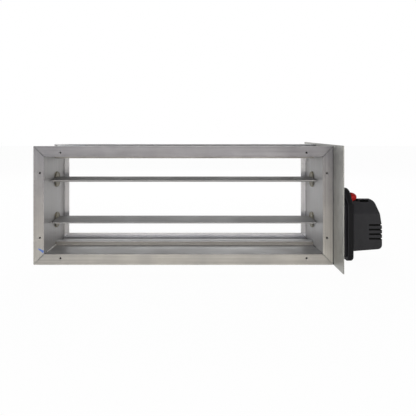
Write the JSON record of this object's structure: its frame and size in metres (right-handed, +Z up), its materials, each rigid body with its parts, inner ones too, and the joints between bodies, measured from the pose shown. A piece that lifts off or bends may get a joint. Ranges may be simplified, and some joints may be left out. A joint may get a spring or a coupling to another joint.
{
  "type": "volume control damper",
  "caption": "Rectangular flanged duct damper with parallel geared blades and a direct-coupled actuator on its side plate.",
  "frame": {"origin": "centre of the front duct opening, in the face of the front flange", "axes": "+X towards the actuator side, +Y into the duct along the air's way, +Z up"},
  "size_m": [0.7725, 0.322, 0.265],
  "materials": {
    "frame_metal": "mill-finish extruded aluminium",
    "cleat_steel": "galvanised sheet",
    "stop_metal": "folded aluminium sheet",
    "seal_rubber": "matt black rubber strip",
    "rivet_metal": "bright aluminium",
    "bush_nylon": "natural nylon, moulded",
    "gear_nylon": "natural nylon, moulded",
    "plate_steel": "galvanised sheet steel, dull",
    "fastener_steel": "zinc-plated",
    "bearing_bronze": "sintered bronze",
    "bracket_black": "black powder coat",
    "housing_black": "dark grey moulded plastic, fine texture",
    "motor_steel": "drawn steel can",
    "board_green": "circuit board, green lacquer",
    "terminal_grey": "grey terminal block",
    "blade_metal": "mill-finish extruded aluminium",
    "pin_steel": "bright steel",
    "button_red": "glossy red plastic"
  },
  "bodies": {
    "frame": {"frame_top": "frame_metal", "frame_bottom": "frame_metal", "frame_left": "frame_metal", "frame_right": "frame_metal", "front_corner_cleats": "cleat_steel", "back_corner_cleats": "cleat_steel", "top_blade_stop": "stop_metal", "bottom_blade_stop": "stop_metal", "top_stop_seal": "seal_rubber", "bottom_stop_seal": "seal_rubber", "top_stop_rivets": "rivet_metal", "bottom_stop_rivets": "rivet_metal", "drive_side_bushes": "bush_nylon", "far_side_bushes": "bush_nylon", "drive_side_plate": "plate_steel", "plate_screws": "fastener_steel", "shaft_bearing": "bearing_bronze", "actuator_bracket": "bracket_black", "bracket_screws": "fastener_steel", "housing_screws": "fastener_steel", "actuator_base": "housing_black", "actuator_cover": "housing_black", "drive_motor": "motor_steel", "circuit_board": "board_green", "terminal_block": "terminal_grey", "cable_gland": "housing_black"},
    "drive": {"drive_shaft": "pin_steel", "drive_gear": "gear_nylon", "gear_set_screw": "fastener_steel", "output_hub": "pin_steel", "clamp_bolt": "fastener_steel", "clamp_nuts": "fastener_steel"},
    "upper_blade": {"upper_blade": "blade_metal", "upper_drive_pin": "pin_steel", "upper_idle_pin": "pin_steel", "upper_pin_clips": "pin_steel", "upper_gear": "gear_nylon"},
    "lower_blade": {"lower_blade": "blade_metal", "lower_drive_pin": "pin_steel", "lower_idle_pin": "pin_steel", "lower_pin_clips": "pin_steel", "lower_gear": "gear_nylon"},
    "release_button": {"release_button": "button_red"}
  },
  "joints": [
    {"name": "drive_turn", "type": "hinge", "parent": "frame", "child": "drive", "pos_m": [0, 0.089, 0], "axis": [1, 0, 0], "range_deg": [-90, 0]},
    {"name": "upper_blade_turn", "type": "hinge", "parent": "frame", "child": "upper_blade", "pos_m": [0, 0.089, 0.04725], "axis": [1, 0, 0], "range_deg": [0, 90]},
    {"name": "lower_blade_turn", "type": "hinge", "parent": "frame", "child": "lower_blade", "pos_m": [0, 0.089, -0.04725], "axis": [1, 0, 0], "range_deg": [0, 90]},
    {"name": "release_press", "type": "slide", "parent": "frame", "child": "release_button", "axis": [-1, 0, 0], "range_m": [0, 0.003], "stiffness_N_per_m": 600, "springref_m": -0.002}
  ],
  "couplings": [
    {"joint": "upper_blade_turn", "follows": "drive_turn", "ratio": -1},
    {"joint": "lower_blade_turn", "follows": "drive_turn", "ratio": -1}
  ]
}
